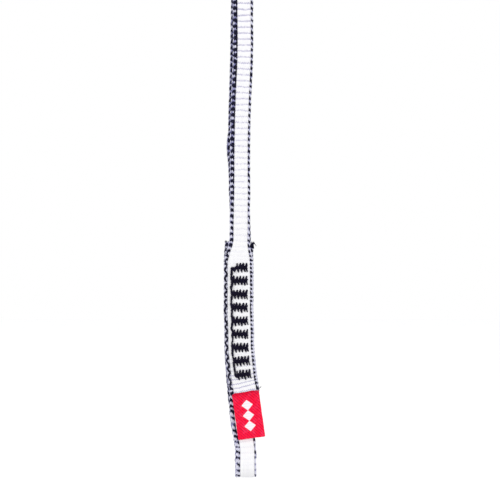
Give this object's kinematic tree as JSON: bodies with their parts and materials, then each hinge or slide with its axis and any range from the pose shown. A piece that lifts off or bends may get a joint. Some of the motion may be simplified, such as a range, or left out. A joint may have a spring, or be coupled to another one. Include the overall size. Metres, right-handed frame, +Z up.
{
  "type": "climbing sling",
  "caption": "Sewn sling of narrow white webbing with marled grey edges, closed by a bar-tacked overlap with a folded label under its cut end; links anchors and carabiners.",
  "frame": {"origin": "inner top of the top bight, where a bar or a carabiner carries the hanging sling", "axes": "+Z up, the sling hangs along -Z; X runs across the webbing; the front of the seam faces -Y"},
  "size_m": [0.0164, 0.0152, 0.3],
  "materials": {
    "web": "matt ribbed weave, white with lilac grooves",
    "selvedge": "marled yarn, grey with near-black flecks",
    "thread": "black sewing thread with a slight sheen",
    "label": "fine red twill tape"
  },
  "bodies": {
    "upper_loop": {"top_bight_web": "web", "top_bight_left_selvedge": "selvedge", "top_bight_right_selvedge": "selvedge", "front_strand_upper_web": "web", "front_strand_upper_left_selvedge": "selvedge", "front_strand_upper_right_selvedge": "selvedge", "rear_strand_upper_web": "web", "rear_strand_upper_left_selvedge": "selvedge", "rear_strand_upper_right_selvedge": "selvedge", "upper_fold_front_web": "web", "upper_fold_front_left_selvedge": "selvedge", "upper_fold_front_right_selvedge": "selvedge", "upper_fold_rear_web": "web", "upper_fold_rear_left_selvedge": "selvedge", "upper_fold_rear_right_selvedge": "selvedge"},
    "middle_loop": {"front_strand_lower_web": "web", "front_strand_lower_left_selvedge": "selvedge", "front_strand_lower_right_selvedge": "selvedge", "rear_strand_middle_web": "web", "rear_strand_middle_left_selvedge": "selvedge", "rear_strand_middle_right_selvedge": "selvedge", "seam_top_fold_front_web": "web", "seam_top_fold_front_left_selvedge": "selvedge", "seam_top_fold_front_right_selvedge": "selvedge", "seam_top_fold_rear_web": "web", "seam_top_fold_rear_left_selvedge": "selvedge", "seam_top_fold_rear_right_selvedge": "selvedge"},
    "seam": {"seam_upper_layer_web": "web", "seam_upper_layer_left_selvedge": "selvedge", "seam_upper_layer_right_selvedge": "selvedge", "seam_lower_layer_web": "web", "seam_lower_layer_left_selvedge": "selvedge", "seam_lower_layer_right_selvedge": "selvedge", "rear_strand_at_seam_web": "web", "rear_strand_at_seam_left_selvedge": "selvedge", "rear_strand_at_seam_right_selvedge": "selvedge", "seam_bottom_fold_front_web": "web", "seam_bottom_fold_front_left_selvedge": "selvedge", "seam_bottom_fold_front_right_selvedge": "selvedge", "seam_bottom_fold_rear_web": "web", "seam_bottom_fold_rear_left_selvedge": "selvedge", "seam_bottom_fold_rear_right_selvedge": "selvedge", "bar_tack_1": "thread", "bar_tack_2": "thread", "bar_tack_3": "thread", "bar_tack_4": "thread", "bar_tack_5": "thread", "bar_tack_6": "thread", "bar_tack_7": "thread", "bar_tack_8": "thread", "bar_tack_9": "thread", "travel_thread": "thread", "label_root": "label"},
    "lower_loop": {"bottom_bight_web": "web", "bottom_bight_left_selvedge": "selvedge", "bottom_bight_right_selvedge": "selvedge"},
    "label": {"label": "label"}
  },
  "joints": [
    {"name": "upper_fold", "type": "hinge", "parent": "upper_loop", "child": "middle_loop", "pos_m": [0, 0, -0.08], "axis": [1, 0, 0], "range_deg": [-120, 120], "deforming": ["upper_fold_front_web", "upper_fold_front_left_selvedge", "upper_fold_front_right_selvedge", "upper_fold_rear_web", "upper_fold_rear_left_selvedge", "upper_fold_rear_right_selvedge"]},
    {"name": "seam_top_fold", "type": "hinge", "parent": "middle_loop", "child": "seam", "pos_m": [0, 0, -0.19654], "axis": [1, 0, 0], "range_deg": [-120, 120], "deforming": ["seam_top_fold_front_web", "seam_top_fold_front_left_selvedge", "seam_top_fold_front_right_selvedge", "seam_top_fold_rear_web", "seam_top_fold_rear_left_selvedge", "seam_top_fold_rear_right_selvedge"]},
    {"name": "seam_bottom_fold", "type": "hinge", "parent": "seam", "child": "lower_loop", "pos_m": [0, 0.00125, -0.27068], "axis": [1, 0, 0], "range_deg": [0, 120], "deforming": ["seam_bottom_fold_front_web", "seam_bottom_fold_front_left_selvedge", "seam_bottom_fold_front_right_selvedge", "seam_bottom_fold_rear_web", "seam_bottom_fold_rear_left_selvedge", "seam_bottom_fold_rear_right_selvedge"]},
    {"name": "label_flap", "type": "hinge", "parent": "seam", "child": "label", "pos_m": [0.0012, -0.00175, -0.26558], "axis": [-0.9903, 0, -0.1392], "range_deg": [0, 120]}
  ]
}
